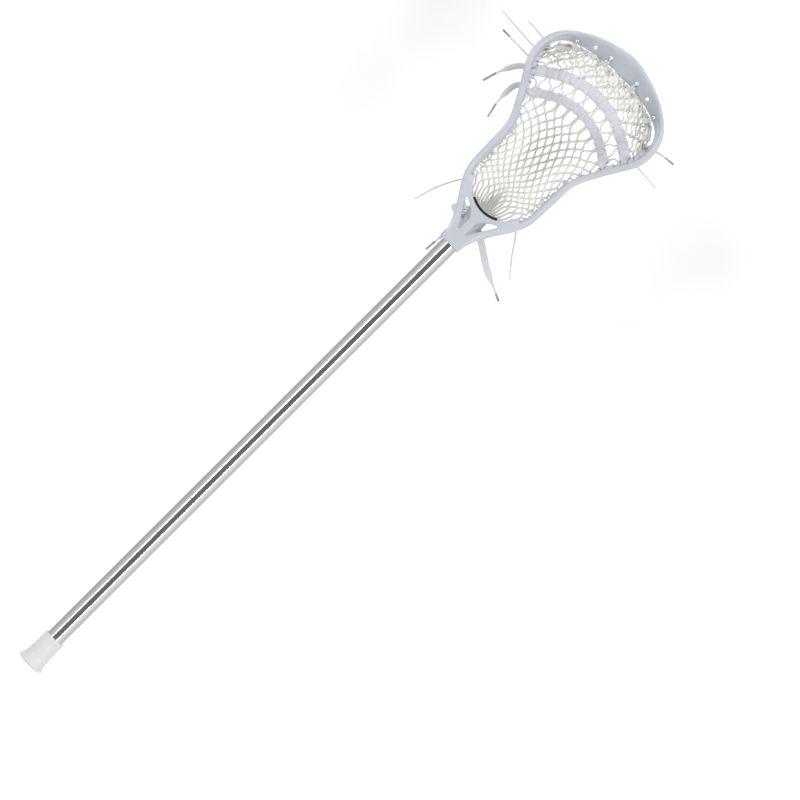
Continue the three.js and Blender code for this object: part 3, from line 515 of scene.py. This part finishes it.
def in_head(points):
    return [Vector((throat + x / 1000, y / 1000, z / 1000)) for x, y, z in points]


curl_steps = 96
curl = smooth_route(in_head([
    (57, 11, -42), (52, 12, -46), (45, 16, -56), (41, 20.5, -70), (40, 22, -84), (44, 21.5, -97),
    (52.5, 20, -109)]), curl_steps)
bunch_cords = 15
bunch_half_width, bunch_half_depth = 0.0115, 0.0044
routes = []
for k in range(bunch_cords):
    route = []
    round_bunch = math.tau * k / bunch_cords
    for i, point in enumerate(curl):
        along = curl[min(i + 1, curl_steps)] - curl[max(i - 1, 0)]
        across = Vector((0, 1, 0))
        outward = along.cross(across).normalized()
        swing = math.cos(math.pi * (i / 5.6 + k))
        swing = math.copysign(abs(swing) ** 0.6, swing)
        full = 0.4 + 0.6 * smoothstep(0, 40, i) - 0.35 * smoothstep(72, curl_steps, i)
        turned = round_bunch + 0.16 * swing + 0.004 * i
        aside = bunch_half_width * full * math.cos(turned)
        roll = bunch_half_depth * full * math.sin(turned)
        route.append(point + across * aside + outward * roll)
    routes.append(route)
cord_curve("net_spare_end", routes, 0.002, net_cord, "net", "mesh_tail")


# Sidewall strings and top string. Round braided nylon, 2 mm, run through the holes of the flange and the
# scoop and hitched round the net's edge.
string, tree = new_material("nylon_string_braided")
place = add_node(tree, "TexCoord").outputs["Object"]
fibre = add_node(tree, "TexNoise", {"Scale": 2200, "Detail": 2}, {"Vector": place})
lump = add_node(tree, "TexVoronoi", {"Scale": 900}, {"Vector": place})
height = add_node(tree, "Math", {1: 0.4}, {0: fibre.outputs[0], 2: lump.outputs["Distance"]},
                  operation="MULTIPLY_ADD")
# The colour follows the bump's height: painted shade darkens the hollows between the braid's lumps, with a
# random tone from the fibre noise on top.
tint = add_node(tree, "ValToRGB", links={"Fac": height.outputs[0]})
tint.color_ramp.elements[0].position, tint.color_ramp.elements[0].color = 0.15, linear("C2C2C1")
tint.color_ramp.elements[1].position, tint.color_ramp.elements[1].color = 0.8, linear("D8D8D6")
bump = add_node(tree, "Bump", {"Strength": 0.5, "Distance": 0.0003}, {"Height": height.outputs[0]})
finish_material(tree, add_node(tree, "BsdfPrincipled", {
    "Roughness": 0.62, "Sheen Weight": 0.1}, {"Base Color": tint.outputs[0], "Normal": bump.outputs[0]}))
for name in ("sidewall_string_left", "sidewall_string_right", "top_string"):
    piece = new_piece(name + "_braid", copy_of_node(name), string, "string", "stick", name)
    rounder = piece.modifiers.new("rounder", "SUBSURF")
    rounder.levels = rounder.render_levels = 1


# Top string's turns. At each tied hole of the scoop the string goes twice over the edge, side by side, and
# down to the net.
head_surface = BVHTree.FromBMesh(copy_of_node("head_frame"))


def scoop_top(point):
    return head_surface.ray_cast(Vector((point.x, point.y, 0.1)), Vector((0, 0, -1)))[0]


lowest_scoop = -0.03  # what lies below this is not the scoop
beside, onward = 0.0014, 0.0018
proud, sunk = 0.0013, 0.0020
routes = []
for x, y, inward in ((294.8, 22.5, (-1, 0)), (281.5, 65.5, (-0.78, -0.62))):
    for side in (1, -1):
        to_net = Vector((inward[0], inward[1] * side, 0))
        hole = Vector((throat + x / 1000, side * y / 1000, 0))
        for offset in (-beside, beside):
            start = hole + offset * to_net.cross(Vector((0, 0, 1)))
            points = []
            for step in range(6):
                point = start + to_net * onward * step
                top = scoop_top(point)
                if top and top.z > lowest_scoop:
                    level = top.z
                else:
                    level = points[-1].z - 0.0030 if points else -0.018
                points.append(Vector((point.x, point.y, level + (proud if step else -sunk))))
            points[0].z = points[1].z - 0.0035
            routes.append(smooth_route(points, 24))
cord_curve("top_string_turns", routes, 0.0023, string, "string")


# Net lashings. The same string goes round each lower rail's flange in close turns and catches the net's
# edge with every second one, which leaves a row of tight white loops below the rail.
flange_start, flange_step, flange_steps = 0.064, 0.003, 70


def flange_foot(x, side):
    lowest = None
    for step in range(75):
        y = side * (0.104 - step * 0.001)
        hit = head_surface.ray_cast(Vector((x, y, -0.12)), Vector((0, 0, 1)))[0]
        if hit and (lowest is None or hit.z < lowest.z - 0.0004):
            lowest = hit
    return lowest - Vector((0, side * 0.0014, 0))


flange_lines = {}
for side in (1, -1):
    flange_lines[side] = [flange_foot(throat + flange_start + flange_step * i, side)
                          for i in range(flange_steps)]


def flange_at(x, side):
    at = min(max((x - throat - flange_start) / flange_step, 0), flange_steps - 1.001)
    i = int(at)
    return flange_lines[side][i].lerp(flange_lines[side][i + 1], at - i)


# Oval turns round the flange: a route, and the way out from it at each point. The centre and the radii are
# measured outwards and upwards from the flange's foot. Every second turn reaches in to the net by its catch.
def round_flange(start, turns, pitch, side, centre, radius, per_turn, catch=0.0):
    route, outwards = [], []
    for i in range(turns * per_turn + 1):
        angle = math.tau * i / per_turn
        u, w = math.cos(angle), math.sin(angle)
        caught = catch if (i // per_turn) % 2 and u < 0 else 0
        foot = flange_at(start + pitch * i / per_turn, side)
        out = centre[0] + (radius[0] + caught) * u
        up = centre[1] + radius[1] * w
        route.append(foot + Vector((0, side * out, up)))
        outwards.append(Vector((0, side * u / radius[0], w / radius[1])).normalized())
    return route, outwards


for name, side in (("net_lashing_left", 1), ("net_lashing_right", -1)):
    route, _ = round_flange(throat + 0.070, 35, 0.0054, side, (0, 0.0018), (0.0032, 0.0052), 14, 0.0038)
    uneven = []
    for point in route:
        drift = noise.noise_vector(point * 150)
        uneven.append(point + Vector((drift.x * 0.0028, drift.y * 0.0008, drift.z * 0.0014)))
    cord_curve(name, [uneven], 0.0023, string, "string")


# Shooting laces. Flat woven polyester laces, about 13 mm wide, worked in and out of the net's cells from
# rail to rail in two layers, there and back.
lace, tree = new_material("polyester_lace_flat_woven")
along_uv = add_node(tree, "TexCoord").outputs["UV"]
parts = add_node(tree, "SeparateXYZ", links={0: along_uv})
fold = add_node(tree, "Math", {1: 0.5}, {0: parts.outputs[1]}, operation="PINGPONG")
rows = add_node(tree, "Math", {1: 7}, {0: fold.outputs[0]}, operation="MULTIPLY")
picks = add_node(tree, "Math", {1: 1}, {0: parts.outputs[0], 2: rows.outputs[0]}, operation="MULTIPLY_ADD")
turn = add_node(tree, "Math", {1: math.tau}, {0: picks.outputs[0]}, operation="MULTIPLY")
ridge = add_node(tree, "Math", links={0: turn.outputs[0]}, operation="SINE")
place = add_node(tree, "TexCoord").outputs["Object"]
fluff = add_node(tree, "TexNoise", {"Scale": 1500, "Detail": 3}, {"Vector": place})
height = add_node(tree, "Math", {1: 0.35}, {0: ridge.outputs[0], 2: fluff.outputs[0]}, operation="MULTIPLY_ADD")
# The colour follows the bump's height: painted shade darkens the grooves between the weft picks and lighter
# colour sits on the ridges, with a random tone from the fluff noise on top.
tint = add_node(tree, "ValToRGB", links={"Fac": height.outputs[0]})
tint.color_ramp.elements[0].position, tint.color_ramp.elements[0].color = 0.1, linear("C4C3CB")
tint.color_ramp.elements[1].position, tint.color_ramp.elements[1].color = 0.8, linear("D6D5DC")
bump = add_node(tree, "Bump", {"Strength": 0.45, "Distance": 0.0003}, {"Height": height.outputs[0]})
finish_material(tree, add_node(tree, "BsdfPrincipled", {
    "Roughness": 0.78, "Sheen Weight": 0.2, "Subsurface Weight": 0.08,
    "Subsurface Radius": (0.002, 0.002, 0.002), "Subsurface Scale": 1}, {
    "Base Color": tint.outputs[0], "Normal": bump.outputs[0]}))


# A flat strip along a route. Its faces look along the given normals, and its UV counts weft picks along
# the strip and runs from 0 to 1 across it.
def add_strip(bm, route, normals, width, pinch=None, cross=4):
    picks_per_metre = 900
    grid = bmesh.ops.create_grid(bm, x_segments=len(route) - 1, y_segments=cross, size=0.5, calc_uvs=False)
    uv_layer = bm.loops.layers.uv.verify()
    far = [0]
    for a, b in zip(route, route[1:]):
        far.append(far[-1] + (b - a).length)
    where = {}
    for vert in grid["verts"]:
        i = round((vert.co.x + 0.5) * (len(route) - 1))
        across = vert.co.y
        where[vert] = (far[i] * picks_per_metre, across + 0.5)
        along = route[min(i + 1, len(route) - 1)] - route[max(i - 1, 0)]
        side = along.cross(normals[i]).normalized()
        narrow = 1 if pinch is None else pinch(i / (len(route) - 1))
        crown = normals[i] * (0.0003 * (1 - (2 * across) ** 2))
        vert.co = route[i] + side * across * width * narrow + crown
    for face in {f for v in grid["verts"] for f in v.link_faces}:
        for loop in face.loops:
            loop[uv_layer].uv = where[loop.vert]


def strip_piece(name, bm, thickness, *replaced):
    made = new_piece(name, bm, lace, "lace", "stick", *replaced)
    solid = made.modifiers.new("cloth", "SOLIDIFY")
    solid.thickness = thickness
    solid.offset = 0
    round_off = made.modifiers.new("round", "SUBSURF")
    round_off.levels = round_off.render_levels = 1
    return made


lace_width = 0.0132
for name, start, bulge, waves in (
        ("shooting_lace_lower", 0.2035, 0.027, 11), ("shooting_lace_upper", 0.2245, 0.0325, 12)):
    half = Vector(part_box(name)[1]).y + 0.004
    bm = bmesh.new()
    for layer, shift in ((0, -0.0012), (1, 0.0012)):
        route, normals = [], []
        for i in range(161):
            y = half * (i / 80 - 1)
            x = throat + start + bulge * (1 - (y / half) ** 2) + shift
            wave = math.sin(math.pi * (waves * i / 80 + layer))
            point, normal = on_net(x, y, -0.0006 - 0.0009 * wave)
            route.append(point)
            normals.append(normal)
        add_strip(bm, route, normals, lace_width,
                  lambda t: 0.97 + 0.05 * math.cos(math.tau * (waves * t + layer / 2)))
    strip_piece(name + "_strip", bm, 0.0009, name)


# Lace wraps. Each shooting lace goes three times round the lower rail at its ends, and is tied off below it
# in a fat soft knot of two turns one way and two the other.
for name, side in (("left", 1), ("right", -1)):
    for lace_name, start, under in (("lower", 0.205, -0.0075), ("upper", 0.2275, -0.0045)):
        bm = bmesh.new()
        for onward, turns, pitch, centre, radius, per_turn, width in (
                (0, 3, 0.0078, (-0.0016, 0.0040), (0.0048, 0.0066), 22, 0.0086),
                (0.021, 2, 0.0022, (-0.0035, under), (0.0042, 0.0040), 18, 0.0120),
                (0.017, 2, 0.0030, (-0.0008, under + 0.003), (0.0034, 0.0044), 18, 0.0084)):
            route, outwards = round_flange(throat + start + onward, turns, pitch, side, centre, radius,
                                           per_turn)
            add_strip(bm, route, outwards, width)
        strip_piece("lace_wrap_" + lace_name + "_" + name, bm, 0.0012)


# Loose ends. The laces and strings are left long after their knots, so that the pocket can be retied.
# Rolled film tips close the laces; the thin strings are only singed.
aglet, tree = new_material("acetate_film_rolled_smoked")
place = add_node(tree, "TexCoord").outputs["Object"]
film = add_node(tree, "TexNoise", {"Scale": 700, "Detail": 2}, {"Vector": place})
depth = add_node(tree, "TexNoise", {"Scale": 60, "Detail": 1}, {"Vector": place})
tint = add_node(tree, "ValToRGB", links={"Fac": depth.outputs[0]})
tint.color_ramp.elements[0].position, tint.color_ramp.elements[0].color = 0.38, linear("7A797B")
tint.color_ramp.elements[1].position, tint.color_ramp.elements[1].color = 0.62, linear("B4B2B3")
rough = add_node(tree, "MapRange", {"To Min": 0.25, "To Max": 0.45}, {"Value": film.outputs[0]})
finish_material(tree, add_node(tree, "BsdfPrincipled", {"Coat Weight": 0.3}, {
    "Base Color": tint.outputs[0], "Roughness": rough.outputs[0]}))

# In mm, from the throat's mouth: diameter, length of the tip, and the route.
round_ends = {
    "tail_a": (2.6, 12, [
        (232.7, 85.6, -57.8), (233.6, 96.4, -58.2), (234.2, 118, -56.8), (234.5, 140.6, -58.8)]),
    "tail_b": (2.2, 0, [
        (245, 85.7, -53), (245.9, 97.5, -53.4), (247.7, 128.1, -51), (250.1, 157.6, -52)]),
    "tail_c": (2.2, 0, [
        (259.3, 83.8, -49.4), (261.2, 95.6, -49.8), (262.4, 112.4, -48), (263.3, 126.2, -48.6)]),
    "tail_d": (2.2, 0, [
        (74, 36.5, -49.6), (68.1, 47.3, -49), (40.9, 61.2, -43), (11.1, 70.5, -46)]),
    "tail_e": (2.6, 13, [
        (255.7, -78.8, -49.9), (260.4, -96.6, -48.6), (262.8, -109.5, -45), (264.5, -123.3, -47)]),
    "tail_f": (2.2, 0, [
        (232.7, -84.6, -57), (231.7, -97.3, -57.4), (230.8, -113.1, -56), (229.5, -127.8, -59)]),
    "tail_g": (2.2, 0, [
        (74, -36.5, -49.6), (68.2, -47.3, -48), (43, -65.2, -42), (22.6, -82.1, -36)]),
}
# The same with the width for a diameter, and with the way the flat side runs across.
flat_ends = {
    "lace_end_upper": (7.6, 19, (0.45, 0.86, 0.15), [
        (225.1, 82.5, -63), (217.2, 96.2, -63.5), (196.9, 107.1, -60), (173.7, 114.8, -66)]),
    "lace_end_lower": (7.6, 19, (0.1, 1, 0.15), [
        (205.7, 70.6, -69), (197.8, 82.3, -70), (173.1, 84.2, -72), (147.2, 79.2, -76)]),
    "throat_lace_right": (9, 15, (0.9, -0.4, 0), [
        (38, -12, -32), (29, -28, -39), (15, -50, -59), (5, -73, -87), (-2, -90, -109)]),
    "throat_lace_left": (7.2, 15, (0.2, 0.9, 0.3), [
        (34, 10, -30.5), (20, 12.5, -32), (0, 15, -35), (-22, 17, -44)]),
}


def length_of(route):
    return sum((b - a).length for a, b in zip(route, route[1:]))


# The cord's own route, and the stretch of it at the far end that the tip covers.
def split_route(points, tip):
    whole = smooth_route(in_head(points), 400)
    left = length_of(whole) - tip / 1000
    far, cut = 0, len(whole) - 1
    for i, (a, b) in enumerate(zip(whole, whole[1:])):
        far += (b - a).length
        if far >= left:
            cut = i + 1
            break
    return smooth_route(whole[:cut + 1:max(cut // 12, 1)] + [whole[cut]], 40), whole[cut:]


def aglet_piece(name, route, diameter):
    sparse = [route[0], *route[8:-8:8], route[-1]]
    return cord_curve(name + "_tip", [sparse], diameter, aglet, "aglet", name + "_aglet")


for name, (diameter, tip, points) in round_ends.items():
    route, rest = split_route(points, tip)
    piece = cord_curve(name + "_cord", [route], diameter / 1000, string, "lace", name)
    extra = [aglet_piece(name, rest, 0.0027)] if tip else []

for name, (width, tip, across, points) in flat_ends.items():
    route, rest = split_route(points, tip)
    normals = []
    for i in range(len(route)):
        along = (route[min(i + 1, len(route) - 1)] - route[max(i - 1, 0)]).normalized()
        normals.append(Vector(across).cross(along).normalized())
    bm = bmesh.new()
    add_strip(bm, route, normals, width / 1000, lambda t: 1 - 0.7 * smoothstep(0.6, 0.9, t))
    piece = strip_piece(name + "_strip", bm, 0.0012, name)
    extra = [aglet_piece(name, rest, 0.003)]
